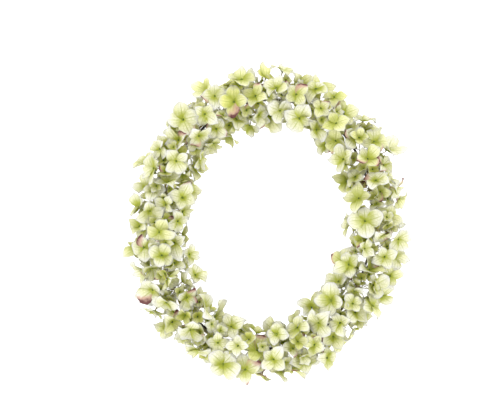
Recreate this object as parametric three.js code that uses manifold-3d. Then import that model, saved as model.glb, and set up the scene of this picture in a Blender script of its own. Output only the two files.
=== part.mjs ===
// A hydrangea wreath lying on its back: an oval ring of steel wire, with small
// sprigs of hydrangea bound to it by one long binding wire.
//
// Millimetres, +Z up. The wreath faces +Z and its long axis runs along Y. The
// origin is the middle of its outline, on the surface that it lies on. Each sprig
// grew as one piece, so its cut stem, its flower stalks and its four-petalled
// florets are one solid.

import * as THREE from "three";
import { mergeVertices } from "three/addons/utils/BufferGeometryUtils.js";
import Module from "manifold-3d";

const wasm = await Module();
wasm.setup();

// ---------------------------------------------------------------- dimensions

// The ring of wire: its centre line is an oval.
const OVAL_HALF_WIDTH = 123;
const OVAL_HALF_LENGTH = 146;
const RING_WIRE_RADIUS = 1.4;
const RING_WIRE_HEIGHT = 3.5; // of its centre above the surface
const RING_WIRE_STEPS = 48;
const RING_WIRE_SIDES = 6;

// The binding wire: a flat spiral round the ring wire and the stem beside it, with one
// turn for each sprig.
const BINDING_RADIUS = 0.4;
const BINDING_STEPS_PER_TURN = 8;
const BINDING_SIDES = 3;
const BINDING_HALF_WIDTH = 4.6;
const BINDING_HALF_HEIGHT = 3.2;
const BINDING_OUTWARD = 1.8; // of the spiral's middle, from the ring wire's
const BINDING_HEIGHT = 4;

// The sprigs' stems, cut flush with the wreath's back. Each runs through five places,
// given by the distance behind the middle of its florets, outward and height.
const SPRIG_COUNT = 22;
const TIE_BEHIND_HUB = 19; // along the ring
const STEM_PLACES = [
  { behind: TIE_BEHIND_HUB + 14, outward: 3.6, height: -2.4 },
  { behind: TIE_BEHIND_HUB, outward: 3.6, height: 4.6 },
  { behind: TIE_BEHIND_HUB - 11, outward: 2.6, height: 9 },
  { behind: 2, outward: 0, height: 17 },
  { behind: 0, outward: 0, height: 28 },
];
const STEM_RADIUS = 1.6;
const STEM_SIDES = 4;
const STEM_STEPS = 6;
const CUT_DEPTH = 20; // of the block that trims the stems
const LOWEST_ROOT = 0.66; // of a flower stalk, as a share of the stem's length
const HIGHEST_ROOT = 0.985;

// The florets cover a dome over the ring wire.
const FLORET_COUNT = 157;
const DOME_OUTWARD = 1.5; // of its middle, from the ring wire
const DOME_HALF_WIDTH = 26;
const DOME_BASE = 17;
const DOME_RISE = 27;
const DOME_LOWEST_ANGLE = THREE.MathUtils.degToRad(-6);
const LIFT = [-9, 6]; // of a floret from the dome
const FACING_FRONT = 0.6; // how far a floret turns from the dome to the front
const FACING_SPREAD = 1; // how far it leans any way

// A floret: shares are of its radius, and of a petal's length for the petal's sides.
const PETALS = 4;
const FLORET_RADIUS = [15.5, 21.5];
const PETAL_LENGTH = [0.78, 1.06];
const PETAL_TURN = 0.14; // off the square
const PETAL_RISE = [0.04, 0.55]; // how far a floret is cupped
const PETAL_RISE_SPREAD = [-0.28, 0.32];
const PETAL_CURL = [-0.04, 0.18]; // of the tip, downward
const ROUND_PETAL = { side: 0.94, angle: THREE.MathUtils.degToRad(39), notch: 0.64 };
const POINTED_PETAL = { side: 0.74, angle: THREE.MathUtils.degToRad(36), notch: 0.54 };
const SIDE_RISE = 0.75; // share of the petal's rise
const NOTCH_RISE = 0.22;
const PETAL_THICKNESS = 0.9;
const STALK_RADIUS = 0.8;
const STALK_LEAST_DROP = 8; // from the eye to the root, along the floret's axis

// The search for places: florets keep clear of each other and of the surface.
const CLEARANCE = 0.35;
const CLEARANCE_ROUNDING = 0.999;
const LEAST_HEIGHT = 0.5;
const PLACING_TRIES = 160;
const SINK_PER_TRY = 0.05;
const SHRINK_PER_TRY = 0.006;
const LEAST_SHRINK = 0.72;
const FREE_STALK = 0.75; // share of a stalk that keeps clear of its own sprig

const UP = new THREE.Vector3(0, 0, 1);

// ------------------------------------------------------------ small utilities

// Random numbers that come out the same each time.
let seed = 42;
function random() {
  seed = (seed + 0x6d2b79f5) | 0;
  let t = Math.imul(seed ^ (seed >>> 15), 1 | seed);
  t = (t + Math.imul(t ^ (t >>> 7), 61 | t)) ^ t;
  return ((t ^ (t >>> 14)) >>> 0) / 4294967296;
}

function between(low, high) {
  return low + (high - low) * random();
}

function geometryOf(points, triangles) {
  const geometry = new THREE.BufferGeometry().setFromPoints(points);
  geometry.setIndex(triangles.flat());
  return geometry;
}

function solidOf(geometry) {
  const bare = geometry.clone();
  bare.deleteAttribute("normal");
  bare.deleteAttribute("uv");
  const merged = mergeVertices(bare, 1e-3);
  return new wasm.Manifold(
    new wasm.Mesh({
      numProp: 3,
      vertProperties: merged.attributes.position.array,
      triVerts: new Uint32Array(merged.index.array),
    }),
  );
}

function geometryFrom(solid) {
  const mesh = solid.getMesh();
  const geometry = new THREE.BufferGeometry();
  geometry.setAttribute("position", new THREE.BufferAttribute(mesh.vertProperties, mesh.numProp));
  geometry.setIndex(new THREE.BufferAttribute(mesh.triVerts, 1));
  return geometry;
}

// ------------------------------------------------------------------- the ring

const oval = new THREE.EllipseCurve(0, 0, OVAL_HALF_WIDTH, OVAL_HALF_LENGTH);
oval.arcLengthDivisions = 720;
const ringLength = oval.getLength();

// The ring's own directions at a share of the way round it.
function ringFrame(turn) {
  const share = THREE.MathUtils.euclideanModulo(turn, 1);
  const point = oval.getPointAt(share);
  const tangent = oval.getTangentAt(share);
  return {
    point: new THREE.Vector3(point.x, point.y, 0),
    along: new THREE.Vector3(tangent.x, tangent.y, 0),
    outward: new THREE.Vector3(tangent.y, -tangent.x, 0),
  };
}

// A place given by the way round the ring, the distance outward and the height.
function besideRing(turn, outward, height) {
  const frame = ringFrame(turn);
  return frame.point.addScaledVector(frame.outward, outward).setZ(height);
}

// A closed loop of wire with a many-sided section. Each stop has its centre and
// two directions across the wire.
function wireLoop(stops, radius, sides) {
  const points = [];
  const triangles = [];
  stops.forEach(({ centre, across, up }, i) => {
    for (let j = 0; j < sides; j++) {
      const angle = ((j + 0.5) / sides) * 2 * Math.PI;
      points.push(
        centre
          .clone()
          .addScaledVector(across, radius * Math.cos(angle))
          .addScaledVector(up, radius * Math.sin(angle)),
      );
      const here = i * sides + j;
      const beside = i * sides + ((j + 1) % sides);
      const next = ((i + 1) % stops.length) * sides + j;
      const opposite = ((i + 1) % stops.length) * sides + ((j + 1) % sides);
      triangles.push([here, beside, opposite], [here, opposite, next]);
    }
  });
  return geometryOf(points, triangles);
}

function ringWire() {
  const stops = [];
  for (let i = 0; i < RING_WIRE_STEPS; i++) {
    const turn = i / RING_WIRE_STEPS;
    stops.push({
      centre: besideRing(turn, 0, RING_WIRE_HEIGHT),
      across: ringFrame(turn).outward.negate(),
      up: UP.clone(),
    });
  }
  return wireLoop(stops, RING_WIRE_RADIUS, RING_WIRE_SIDES);
}

// The spiral passes the ring's outer side, where the stem lies, at each tie.
function bindingWire() {
  const steps = SPRIG_COUNT * BINDING_STEPS_PER_TURN;
  const stops = [];
  const turnAt = (i) => i / steps - TIE_BEHIND_HUB / ringLength + 0.5 / SPRIG_COUNT;
  const centreAt = (i) => {
    const angle = (-i / BINDING_STEPS_PER_TURN) * 2 * Math.PI;
    return besideRing(
      turnAt(i),
      BINDING_OUTWARD + BINDING_HALF_WIDTH * Math.cos(angle),
      BINDING_HEIGHT + BINDING_HALF_HEIGHT * Math.sin(angle),
    );
  };
  for (let i = 0; i < steps; i++) {
    const centre = centreAt(i);
    const middle = besideRing(turnAt(i), BINDING_OUTWARD, BINDING_HEIGHT);
    const along = centreAt(i + 1).sub(centreAt(i - 1)).normalize();
    const away = centre.clone().sub(middle);
    const up = away.addScaledVector(along, -away.dot(along)).normalize();
    stops.push({ centre, across: up.clone().cross(along), up });
  }
  return wireLoop(stops, BINDING_RADIUS, BINDING_SIDES);
}

// ----------------------------------------------------------------- the sprigs

function hubTurn(sprig) {
  return (sprig + 0.5) / SPRIG_COUNT;
}

// A stem starts flush with the wreath's back, runs up beside the ring wire and
// ends upright in the middle of its florets.
function stemPath(sprig) {
  return new THREE.CatmullRomCurve3(
    STEM_PLACES.map(({ behind, outward, height }) =>
      besideRing(hubTurn(sprig) - behind / ringLength, outward, height),
    ),
  );
}

function stemSolid(path) {
  const section = new THREE.Shape(
    Array.from({ length: STEM_SIDES }, (_, i) => {
      const angle = (i / STEM_SIDES) * 2 * Math.PI;
      return new THREE.Vector2(STEM_RADIUS * Math.cos(angle), STEM_RADIUS * Math.sin(angle));
    }),
  );
  const stem = solidOf(new THREE.ExtrudeGeometry(section, { steps: STEM_STEPS, extrudePath: path }));
  const below = new THREE.BoxGeometry(4 * OVAL_HALF_WIDTH, 4 * OVAL_HALF_LENGTH, CUT_DEPTH);
  return stem.subtract(solidOf(below.translate(0, 0, -CUT_DEPTH / 2)));
}

// Where the stalk of a floret grows from its stem: rank is 0 for the sprig's
// lowest floret and 1 for its highest.
function stalkRoot(path, rank) {
  return path.getPointAt(THREE.MathUtils.lerp(LOWEST_ROOT, HIGHEST_ROOT, rank));
}

// A floret faces its own +Z, with its eye at the origin. root is the far end of
// its stalk in the same frame. Each petal is four triangles on its front.
function floretGeometry({ radius, outline, petals, root }) {
  const points = [];
  const triangles = [];
  const add = (x, y, z) => points.push(new THREE.Vector3(x, y, z)) - 1;
  const rim = [];
  petals.forEach((petal, i) => {
    const middle = (i / PETALS) * 2 * Math.PI + petal.turn;
    const notch = ((i - 0.5) / PETALS) * 2 * Math.PI;
    const length = radius * petal.length;
    rim.push([radius * outline.notch, notch, petal.rise * NOTCH_RISE]);
    rim.push([length * outline.side, middle - outline.angle, petal.rise * SIDE_RISE]);
    rim.push([length, middle, petal.rise - petal.curl]);
    rim.push([length * outline.side, middle + outline.angle, petal.rise * SIDE_RISE]);
  });
  const onRim = (reach, angle, z) => add(reach * Math.cos(angle), reach * Math.sin(angle), z);
  const front = rim.map(([reach, angle, z]) => onRim(reach, angle, z));
  const back = rim.map(([reach, angle, z]) => onRim(reach, angle, z - PETAL_THICKNESS));
  const eye = add(0, 0, 0);
  const corners = [];
  const ends = [];
  for (let i = 0; i < PETALS; i++) {
    const angle = ((i - 0.5) / PETALS) * 2 * Math.PI;
    const x = STALK_RADIUS * Math.cos(angle);
    const y = STALK_RADIUS * Math.sin(angle);
    corners.push(add(x, y, -PETAL_THICKNESS));
    ends.push(add(root.x + x, root.y + y, root.z));
  }
  const count = rim.length;
  for (let i = 0; i < count; i++) {
    const next = (i + 1) % count;
    triangles.push([eye, front[i], front[next]]);
    triangles.push([front[i], back[i], back[next]], [front[i], back[next], front[next]]);
  }
  for (let i = 0; i < PETALS; i++) {
    const first = i * 4;
    const after = (i + 1) % PETALS;
    const [notch, sideA, tip, sideB] = back.slice(first, first + 4);
    const nextNotch = back[(first + 4) % count];
    const cornerA = corners[i];
    const cornerB = corners[after];
    triangles.push([cornerA, sideA, notch], [cornerA, tip, sideA], [cornerA, cornerB, tip]);
    triangles.push([cornerB, sideB, tip], [cornerB, nextNotch, sideB]);
    triangles.push([cornerA, ends[i], ends[after]], [cornerA, ends[after], cornerB]);
  }
  triangles.push([ends[0], ends[2], ends[1]], [ends[0], ends[3], ends[2]]);
  return geometryOf(points, triangles);
}

// ------------------------------------------------------- where the florets go

function onDome({ turn, angle, lift }) {
  return besideRing(
    turn,
    DOME_OUTWARD + (DOME_HALF_WIDTH + lift) * Math.cos(angle),
    DOME_BASE + (DOME_RISE + lift) * Math.sin(angle),
  );
}

function domeNormal({ turn, angle }) {
  const outward = ringFrame(turn).outward;
  return outward
    .multiplyScalar(Math.cos(angle) / DOME_HALF_WIDTH)
    .setZ(Math.sin(angle) / DOME_RISE)
    .normalize();
}

// Places for the florets, spread over the dome: each new one is the roomiest of
// several tries, and then all of them push each other apart for a while.
function spreadSites() {
  const TRIES = 30;
  const ROUNDS = 40;
  const REACH = 27;
  const PUSH = 0.12;
  const sites = [];
  const highest = Math.PI - DOME_LOWEST_ANGLE;
  while (sites.length < FLORET_COUNT) {
    let best = null;
    for (let i = 0; i < TRIES; i++) {
      const angle = between(DOME_LOWEST_ANGLE, highest);
      const site = { turn: random(), angle, lift: 0 };
      site.at = onDome(site);
      site.room = Math.min(...sites.map((other) => other.at.distanceTo(site.at)), Infinity);
      if (!best || site.room > best.room) best = site;
    }
    sites.push(best);
  }
  for (let round = 0; round < ROUNDS; round++) {
    for (const site of sites) {
      const push = new THREE.Vector3();
      for (const other of sites) {
        const away = site.at.clone().sub(other.at);
        const distance = away.length();
        if (other === site || distance > REACH) continue;
        push.addScaledVector(away, (PUSH * (REACH - distance)) / distance);
      }
      const { along, outward } = ringFrame(site.turn);
      const upDome = outward.multiplyScalar(-Math.sin(site.angle)).setZ(Math.cos(site.angle));
      site.turn = THREE.MathUtils.euclideanModulo(site.turn + push.dot(along) / ringLength, 1);
      site.angle += push.dot(upDome) / DOME_HALF_WIDTH;
      site.angle = THREE.MathUtils.clamp(site.angle, DOME_LOWEST_ANGLE, highest);
      site.at = onDome(site);
    }
  }
  return sites;
}

// The shape of one floret. Most are nearer the pointed outline than the round one, and
// its petals differ a little.
function floretShape(shrink) {
  const radius = between(...FLORET_RADIUS) * shrink;
  const rise = between(...PETAL_RISE);
  const pointed = Math.sqrt(random());
  const outline = {};
  for (const [name, value] of Object.entries(ROUND_PETAL)) {
    outline[name] = THREE.MathUtils.lerp(value, POINTED_PETAL[name], pointed);
  }
  const petals = Array.from({ length: PETALS }, () => ({
    turn: between(-PETAL_TURN, PETAL_TURN),
    length: between(...PETAL_LENGTH),
    rise: radius * (rise + between(...PETAL_RISE_SPREAD)),
    curl: radius * between(...PETAL_CURL),
  }));
  return { radius, outline, petals };
}

// The way that a floret faces: off the dome, toward the front, and leaning any way.
function facingAt(site) {
  const facing = domeNormal(site).add(UP.clone().multiplyScalar(FACING_FRONT)).normalize();
  const lean = new THREE.Vector3(between(-1, 1), between(-1, 1), between(-1, 1));
  return facing.addScaledVector(lean, FACING_SPREAD).normalize();
}

// One try at a floret. Each try sinks it a little deeper and makes it smaller.
function placedFloret(site, sprig, root, attempt) {
  const lift = between(...LIFT) - attempt * SINK_PER_TRY;
  const shape = floretShape(Math.max(LEAST_SHRINK, 1 - attempt * SHRINK_PER_TRY));
  const eye = onDome({ ...site, lift });
  const turn = new THREE.Quaternion().setFromUnitVectors(UP, facingAt(site));
  turn.multiply(new THREE.Quaternion().setFromAxisAngle(UP, between(0, Math.PI / 2)));
  const place = new THREE.Matrix4().compose(eye, turn, new THREE.Vector3(1, 1, 1));
  const inverse = place.clone().invert();
  if (root.clone().applyMatrix4(inverse).z > -STALK_LEAST_DROP) return null;
  const withStalk = (share) => {
    const end = eye.clone().lerp(root, share).applyMatrix4(inverse);
    return solidOf(floretGeometry({ ...shape, root: end }).applyMatrix4(place));
  };
  const solid = withStalk(1);
  return { sprig, solid, apart: withStalk(FREE_STALK), box: solid.boundingBox() };
}

function boxesNear(a, b, gap) {
  return [0, 1, 2].every((k) => a.min[k] - gap < b.max[k] && b.min[k] - gap < a.max[k]);
}

function isClear(floret, others) {
  if (floret.box.min[2] < LEAST_HEIGHT) return false;
  return others.every((other) => {
    if (!boxesNear(floret.box, other.box, CLEARANCE)) return true;
    const same = other.sprig === floret.sprig;
    const mine = same ? floret.apart : floret.solid;
    const theirs = same ? other.apart : other.solid;
    return mine.minGap(theirs, CLEARANCE) >= CLEARANCE * CLEARANCE_ROUNDING;
  });
}

// Every floret gets tries at a place clear of what is there already.
function growFlorets(paths, fixed) {
  const placed = [...fixed];
  const bySprig = Array.from({ length: SPRIG_COUNT }, () => []);
  for (const site of spreadSites()) {
    bySprig[Math.min(SPRIG_COUNT - 1, Math.floor(site.turn * SPRIG_COUNT))].push(site);
  }
  bySprig.forEach((sites, sprig) => {
    sites.sort((a, b) => a.at.z - b.at.z);
    sites.forEach((site, i) => {
      const root = stalkRoot(paths[sprig], i / (sites.length - 1));
      for (let attempt = 0; attempt < PLACING_TRIES; attempt++) {
        const floret = placedFloret(site, sprig, root, attempt);
        if (!floret || !isClear(floret, placed)) continue;
        placed.push(floret);
        return;
      }
    });
  });
  return placed.slice(fixed.length);
}

// ------------------------------------------------------------------- assembly

const FINISHES = {
  petals: { color: 0xd1d19f, roughness: 0.6, metalness: 0 },
  ringWire: { color: 0x2e2a24, roughness: 0.5, metalness: 0.7 },
  bindingWire: { color: 0x3b3a2c, roughness: 0.45, metalness: 0.7 },
};

function pieceOf(name, solid, finish) {
  const mesh = new THREE.Mesh(geometryFrom(solid), new THREE.MeshStandardMaterial(finish));
  mesh.name = name;
  return mesh;
}

const ring = solidOf(ringWire());
const binding = solidOf(bindingWire());
const paths = Array.from({ length: SPRIG_COUNT }, (_, sprig) => stemPath(sprig));
const stems = paths.map(stemSolid);
const florets = growFlorets(paths, [
  { sprig: -1, solid: ring, box: ring.boundingBox() },
  { sprig: -1, solid: binding, box: binding.boundingBox() },
  ...stems.map((solid, sprig) => ({ sprig, solid, apart: solid, box: solid.boundingBox() })),
]);

const wreath = new THREE.Group();
wreath.add(pieceOf("ring_wire", ring, FINISHES.ringWire));
wreath.add(pieceOf("binding_wire", binding, FINISHES.bindingWire));
stems.forEach((stem, sprig) => {
  const grown = florets.filter((floret) => floret.sprig === sprig).map((floret) => floret.solid);
  const name = `sprig_${String(sprig + 1).padStart(2, "0")}`;
  wreath.add(pieceOf(name, wasm.Manifold.union([stem, ...grown]), FINISHES.petals));
});

// The origin is the middle of the wreath's outline.
const outline = new THREE.Box3().setFromObject(wreath);
wreath.position.set(-(outline.min.x + outline.max.x) / 2, -(outline.min.y + outline.max.y) / 2, 0);

export default wreath;
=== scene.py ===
"""Dresses an oval hydrangea wreath that lies on its back.

The frame gives the ring of wire, the binding wire and the sprigs. Each sprig's plain
florets are read from its node, and a fine floret is modelled over every one of them:
four thin sepals with a midrib, a rippled edge and a green throat, and a small bud in
the middle. Younger florets fill the gaps below. Metres, +Z up, the wreath faces +Z.
"""

import dataclasses
import functools
import math

import bmesh
import bpy
import numpy as np
from mathutils import Matrix, Vector
from mathutils.bvhtree import BVHTree


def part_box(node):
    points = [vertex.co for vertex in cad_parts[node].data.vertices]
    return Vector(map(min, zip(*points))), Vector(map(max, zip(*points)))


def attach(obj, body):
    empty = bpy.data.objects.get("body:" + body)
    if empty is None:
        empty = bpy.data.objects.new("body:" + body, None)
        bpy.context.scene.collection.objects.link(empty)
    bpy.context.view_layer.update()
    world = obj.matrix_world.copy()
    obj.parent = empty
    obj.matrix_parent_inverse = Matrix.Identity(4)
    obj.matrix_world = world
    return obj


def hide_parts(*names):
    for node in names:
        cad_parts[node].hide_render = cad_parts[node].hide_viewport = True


bl_info = {
    "name": "Hydrangea wreath",
    "version": (1, 0, 0),
    "blender": (4, 5, 0),
    "location": "3D View > Sidebar > Wreath",
    "description": "Models the petals, buds, stalks and wires of a hydrangea wreath",
    "category": "Object",
}

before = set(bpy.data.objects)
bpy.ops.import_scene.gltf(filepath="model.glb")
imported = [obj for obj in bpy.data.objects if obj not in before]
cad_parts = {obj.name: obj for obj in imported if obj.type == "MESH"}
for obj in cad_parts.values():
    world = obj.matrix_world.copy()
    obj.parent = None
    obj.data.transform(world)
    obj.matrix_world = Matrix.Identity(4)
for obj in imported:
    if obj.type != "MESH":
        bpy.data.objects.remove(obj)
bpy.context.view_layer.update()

# --- dimensions

MM = 0.001
SEED = 31
PETAL_SEED = SEED + 9
BUD_SEED = SEED + 2

# The ring wire and the sprigs tied to it, as in the frame.
RING_LOW, RING_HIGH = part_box("ring_wire")
RING_CENTRE = (RING_LOW + RING_HIGH) / 2
RING_WIRE_RADIUS = 1.4 * MM
RING_STEPS = 720
RING_SECTION_REACH = RING_WIRE_RADIUS * math.cos(math.pi / 6)  # of its six-sided section
OVAL_HALF_WIDTH = (RING_HIGH.x - RING_LOW.x) / 2 - RING_SECTION_REACH
OVAL_HALF_LENGTH = (RING_HIGH.y - RING_LOW.y) / 2 - RING_SECTION_REACH
SPRIGS = sorted(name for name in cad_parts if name.startswith("sprig_"))

# The binding wire's spiral round the ring wire and the stem beside it.
BINDING_RADIUS = 0.4 * MM
BINDING_HALF_WIDTH = 4.6 * MM
BINDING_HALF_HEIGHT = 3.2 * MM
BINDING_OUTWARD = 1.8 * MM
BINDING_HEIGHT = 4 * MM
BINDING_STEPS = 96  # from one tie to the next
TIE_BEHIND_HUB = 19 * MM
TIE_TURNS = 3  # close turns at a tie
TIE_SPAN = 0.1  # half of their length, as a share of the way from tie to tie
TIE_HUG = 0.16  # how much closer they lie

# A stem runs up beside the ring wire and ends in the middle of its florets: distance
# behind the hub, distance outward from the wire, and height.
STEM_STOPS = (
    (TIE_BEHIND_HUB + 14 * MM, 3.6 * MM, -2.4 * MM),
    (TIE_BEHIND_HUB, 3.6 * MM, 4.6 * MM),
    (TIE_BEHIND_HUB - 11 * MM, 2.6 * MM, 9 * MM),
    (2 * MM, 0, 17 * MM),
    (0, 0, 28 * MM),
)
STEM_STEPS_PER_STOP = 8
STEM_RADIUS = 1.5 * MM
STEM_TIP = 0.62  # a stem's thickness in the middle of its florets, as a share
STEM_SWELL = 0.25  # of the joints where leaves once grew
STEM_SWELL_TURN = 9  # radians, enough for three joints
STEM_SWELL_POWER = 8  # the higher it is, the shorter a joint
STALK_RADIUS = 0.5 * MM
YOUNG_STALK_RADIUS = 0.32 * MM
STALK_START = 0.5 * MM  # behind the eye
STALK_STEPS = 9
STALK_PLACES = (0, 0.12, 0.8, 1)  # from the floret to the stem
STALK_SWELL = (1.9, 1, 1, 1.4)  # its thickness at those places
STALK_EASE = 0.3  # how far it goes on straight at both ends, as a share of its reach
STALK_SAG = 0.06
LOWEST_ROOT = 0.62  # of a stalk, as a share of the stem's length
CUT_FACING = -0.99  # a stem's cut face points down
CUT_HEIGHT = 0.01 * MM  # it lies no higher than this
SHARP_ANGLE = math.radians(50)

# The dome that the florets cover.
DOME_OUTWARD = 1.5 * MM
DOME_HALF_WIDTH = 26 * MM
DOME_BASE = 17 * MM
DOME_RISE = 27 * MM
FACING_FRONT = 0.6

# The petals' grid, and half the width of a round petal at each row, as shares of the
# petal's length. A pointed one is narrower by the third set.
PETAL_COLUMNS = 4
PETAL_ROWS = (0, 0.14, 0.34, 0.55, 0.75, 0.9, 1)
ROUND_HALF_WIDTHS = (0.08, 0.26, 0.46, 0.57, 0.57, 0.41, 0.13)
POINTED_LOSS = (0.0, 0.1, 0.16, 0.3, 0.52, 0.74, 0.95)
PETAL_MAP = "petal"
MEAN_PETAL_LENGTH = 15 * MM
TIP_FALL_START = 0.6
FOLD_END = 1.1  # where along a petal the fold would be flat again
LAP_END = 0.9  # where the lap over the next petal ends
LAP_SHARE = 0.5  # of it that each of the two petals takes
EDGE_LAG = 1.7  # of the waves, in radians, one way on each edge
PAST_EDGE = 1.2  # the most that a place counts as across, where 1 is the edge
SMALL_STEP = 0.01  # over which a petal's slope is measured

# What a petal has over the plain one, and the range that it is drawn from. A setting of
# the same name multiplies it.
PETAL_RANGES = {
    "bow": (-0.6, 1),
    "fold": (-0.25, 1),
    "twist": (-0.4, 0.4),
    "ripple": (0.3, 1),
    "waves": (0.7, 1.5),
    "phase": (0, 2 * math.pi),
    "skew": (-0.13, 0.13),
    "tip_fall": (-0.2, 0.34),
}
GREEN_SPREAD = 0.3  # from floret to floret
PETAL_GREEN_SPREAD = 0.12  # within one floret
PINKNESS = (0.3, 1)  # of a petal that is partly pink

# A bud starts as a ball one unit in radius. Its top is drawn in, and four lobes pulled out.
BUD_RADIUS = (1 * MM, 1.3 * MM)
BUD_LIFT = Vector((0, 0, 0.6 * MM))
BUD_TOP = 0.5  # the height where the top starts
BUD_TOP_SIZE = (0.72, 0.72, 0.8)
BUD_LOBE = 0.75  # how far out a lobe starts
BUD_LOBE_REACH = 0.18

# The petals' patterns.
LONG_VEINS = 5
VEIN_NET = 2.6 * MM  # across one mesh of the finest veins
CRINKLE = 3.5 * MM  # across one of the soft puckers between the veins
CLOUD = 9 * MM  # across a patch of the uneven colour
LIGHT_THROUGH = 0.5  # the share of the light that a petal passes on

# A plain floret of the frame: its rim is notch, side, tip, side for each petal. The
# side's distance off the midrib goes from round petals to pointed ones.
PETALS = 4
RIM_STEP = 4  # points for each petal
RIM = RIM_STEP * PETALS
ROUND_SIDE_X = 0.94 * math.sin(math.radians(39))
ROUND_SIDE_Y = 0.94 * math.cos(math.radians(39))
POINTED_SIDE_X = 0.74 * math.sin(math.radians(36))
POINTED_SIDE_Y = 0.74 * math.cos(math.radians(36))
PLAIN_NOTCH_REACH = 0.58
PLAIN_NOTCH_RISE = 0.3  # of the sides' height
LEAST_RIM_REACH = 3.5 * MM
EYE_BACK_REACH = 1.5 * MM  # of the points just behind an eye
LEAST_STALK = 3 * MM
FLOOR_GAP = 0.2 * MM  # under the lowest petal
WELD = 0.002 * MM

# The young florets under the dome.
YOUNG_TRIES = 8000
YOUNG_RADIUS = (8 * MM, 14 * MM)
YOUNG_RISE = (0.1, 0.75)
YOUNG_LIFT = (-14 * MM, -1.5 * MM)
YOUNG_LEAN = 0.7
YOUNG_SPIN = 0.1
YOUNG_LENGTH = (0.85, 1.05)
YOUNG_TIP = (-0.15, 0.1)
YOUNG_SIDE = 0.75
YOUNG_LOWEST_ANGLE = math.radians(4)
YOUNG_LEAST_HEIGHT = 1 * MM
MEETING_REACH = 40 * MM
FULL_GREENNESS = 0.03
# The young florets' greenness is partly real, as young florets are greener, and partly painted shade,
# for the greener shade deep under the dome.
YOUNG_GREEN_AND_DEPTH_SHADE = 0.55
UP = np.array([0.0, 0.0, 1.0])

# The stage. The ring's middle is right of the view's middle and below it, in pixels, and
# the wreath's long axis leans right.
VIEW_WIDTH = 500
WREATH_RIGHT = 17.75
WREATH_BELOW = 24.5
SENSOR = 36 * MM
CAMERA_ROLL = math.radians(6.4)
CAMERA_PLANE = 34 * MM  # height at which a pixel has its stated size
FLOOR_RADIUS = 4
# Each lamp's name, place, size and share of the power.
LAMPS = (
    ("key_lamp", (-0.6, 0.5, 1.2), 0.5, 1.0),
    ("fill_lamp", (0.9, -0.5, 1.0), 1.2, 0.35),
)


def linear(text):
    """An sRGB hex colour such as "d2dc9a" as linear red, green, blue and alpha."""
    channels = [int(text[i : i + 2], 16) / 255 for i in (0, 2, 4)]
    made = [c / 12.92 if c <= 0.04045 else ((c + 0.055) / 1.055) ** 2.4 for c in channels]
    return (*made, 1.0)


# --- settings


def length_setting(name, description, default, low, high):
    """A property that holds a length in metres."""
    kind = {"precision": 5, "subtype": "DISTANCE", "unit": "LENGTH"}
    return bpy.props.FloatProperty(
        name=name, description=description, default=default, min=low, max=high, **kind
    )


def share_setting(name, description, default, high=1.0):
    """A property that holds a share or a factor."""
    return bpy.props.FloatProperty(
        name=name, description=description, default=default, min=0, max=high, subtype="FACTOR"
    )


def colour_setting(name, description, default):
    """A property that holds a colour, given as sRGB hex."""
    kind = {"size": 3, "min": 0, "max": 1, "subtype": "COLOR"}
    return bpy.props.FloatVectorProperty(
        name=name, description=description, default=linear(default)[:3], **kind
    )


class PetalSettings(bpy.types.PropertyGroup):
    """The shape of the petals and how many young florets there are."""

    thickness: length_setting("Thickness", "Thickness of a petal", 0.35 * MM, 0.1 * MM, 1 * MM)
    ripple: share_setting("Ripple", "Height of the edge's waves, share of the length", 0.2)
    bow: share_setting("Bow", "How far a petal arches, share of its length", 0.1)
    fold: share_setting("Fold", "How far a petal folds up along its midrib", 0.42)
    lap: length_setting("Lap", "How far each petal's edge lies over the next", 1 * MM, 0, 2 * MM)
    young: bpy.props.IntProperty(
        name="Young", description="Small florets that fill the gaps", default=326, min=0, max=400
    )
    blush: share_setting("Blush", "Share of the petals that are partly pink", 0.08)


class ColourSettings(bpy.types.PropertyGroup):
    """The colours of petals, buds, stalks and wires."""

    cream: colour_setting("Cream", "A pale petal's outer half", "e6e5e1")
    pale: colour_setting("Pale green", "A petal between its throat and its tip", "e5e4ca")
    lime: colour_setting("Lime", "A green petal's outer half", "e1e08b")
    throat: colour_setting("Throat", "A petal near the bud", "bbc14b")
    eye: colour_setting("Eye", "A petal right round the bud", "8e9b28")
    vein: colour_setting("Vein", "The net of veins", "a9b04e")
    blush: colour_setting("Blush", "Pink parts of some petals", "c8a694")
    maroon: colour_setting("Maroon", "The darkest edges of the pink parts", "6a363a")
    # The edge colour is painted shade: a grey line along each petal's rim, for the thin shadow beside
    # the rim.
    edge: colour_setting("Edge", "A petal's very edge", "868c66")
    bud: colour_setting("Bud", "The bud in a floret's middle", "46590e")
    stalk: colour_setting("Stalk", "Flower stalks", "b3c070")
    bark: colour_setting("Bark", "The cut stems", "857c48")
    pith: colour_setting("Pith", "The stems' cut ends", "d8d3a2")
    steel: colour_setting("Ring wire", "Annealed steel", "2b2723")
    enamel: colour_setting("Binding wire", "Green enamel", "39402a")


class StageSettings(bpy.types.PropertyGroup):
    """The camera's distance from the wreath and the lights' strength."""

    pixel: length_setting(
        "Pixel", "What one of the view's 500 pixels spans", 1.15 * MM, 0.1 * MM, 10 * MM
    )
    lens: bpy.props.FloatProperty(
        name="Lens", description="Focal length", default=0.1, min=0.01, max=1, unit="CAMERA"
    )
    glow: share_setting("Glow", "Light that the floor gives off", 1.15, 3)
    sky: share_setting("Sky", "Light from all round", 2.55, 3)
    key: bpy.props.FloatProperty(
        name="Key", description="Power of the large lamp", default=1.5, min=0, unit="POWER"
    )


class WreathSettings(bpy.types.PropertyGroup):
    """All of the wreath's settings."""

    petals: bpy.props.PointerProperty(type=PetalSettings)
    colours: bpy.props.PointerProperty(type=ColourSettings)
    stage: bpy.props.PointerProperty(type=StageSettings)


def settings():
    """The scene's wreath settings."""
    return bpy.context.scene.hydrangea_wreath


# --- small utilities


def unit(vectors):
    """The vectors at length one, along the last axis."""
    return vectors / np.linalg.norm(vectors, axis=-1, keepdims=True)


def start_piece():
    """Leaves edit mode and selects nothing, before a primitive is added."""
    if bpy.context.object and bpy.context.object.mode != "OBJECT":
        bpy.ops.object.mode_set(mode="OBJECT")
    bpy.ops.object.select_all(action="DESELECT")


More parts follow.
